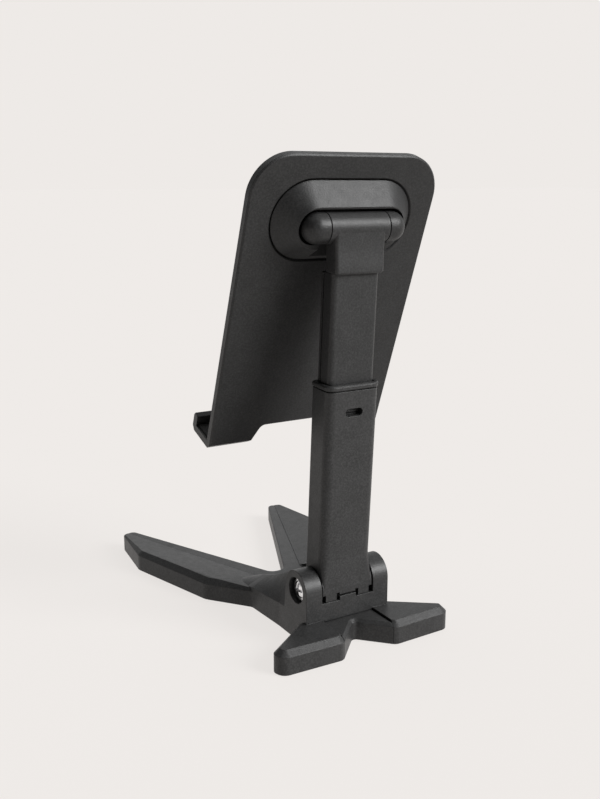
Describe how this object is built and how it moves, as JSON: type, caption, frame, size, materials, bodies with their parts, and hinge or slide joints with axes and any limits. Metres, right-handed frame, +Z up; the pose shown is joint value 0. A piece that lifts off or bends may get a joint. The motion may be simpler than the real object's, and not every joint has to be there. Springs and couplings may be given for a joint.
{
  "type": "phone stand",
  "caption": "Folding desktop phone stand: splayed low base, hinged telescopic arm and a tilting back plate with hooks that hold a phone.",
  "frame": {"origin": "bottom centre of the bounding box, on the desk surface", "axes": "+Z up from the desk, -Y toward the phone side, +X to the side of the visible hinge screw"},
  "size_m": [0.0764, 0.122, 0.1513],
  "materials": {
    "base_plastic": "fine matte grain",
    "arm_plastic": "fine matte grain",
    "slide_plastic": "fine matte grain, slightly darker",
    "plate_plastic": "fine matte grain",
    "pad_rubber": "soft matte",
    "bolt_chrome": "bright plated",
    "hardware_steel": "plain bright steel",
    "liner_polymer": "low-friction grey polymer"
  },
  "bodies": {
    "base": {"base_frame": "base_plastic", "base_core": "base_plastic", "foot_pads": "pad_rubber", "core_screws": "hardware_steel", "hinge_bolt": "bolt_chrome", "spring_washer": "hardware_steel", "hinge_nut": "hardware_steel", "friction_washers": "liner_polymer"},
    "lower_arm": {"lower_sleeve": "arm_plastic", "sleeve_collar": "arm_plastic"},
    "upper_arm": {"upper_slide": "slide_plastic", "detent_leaf": "slide_plastic", "slide_liner": "liner_polymer", "head_knuckle": "slide_plastic", "head_screw": "hardware_steel", "tilt_bushes": "liner_polymer"},
    "plate": {"tilt_pin": "hardware_steel", "pod_housing": "plate_plastic", "plate": "plate_plastic", "front_pad": "pad_rubber", "hook_pads": "pad_rubber", "pod_screws": "hardware_steel", "hinge_cap_left": "plate_plastic", "hinge_cap_right": "plate_plastic"}
  },
  "joints": [
    {"name": "arm_fold", "type": "hinge", "parent": "base", "child": "lower_arm", "pos_m": [0, 0.04152, 0.017], "axis": [1, 0, 0], "range_deg": [0, 47]},
    {"name": "height_slide", "type": "slide", "parent": "lower_arm", "child": "upper_arm", "axis": [0, 0.0624, 0.9981], "range_m": [-0.031, 0]},
    {"name": "plate_tilt", "type": "hinge", "parent": "upper_arm", "child": "plate", "pos_m": [0, 0.04858, 0.12998], "axis": [1, 0, 0], "range_deg": [-69.5, 16.8]}
  ]
}
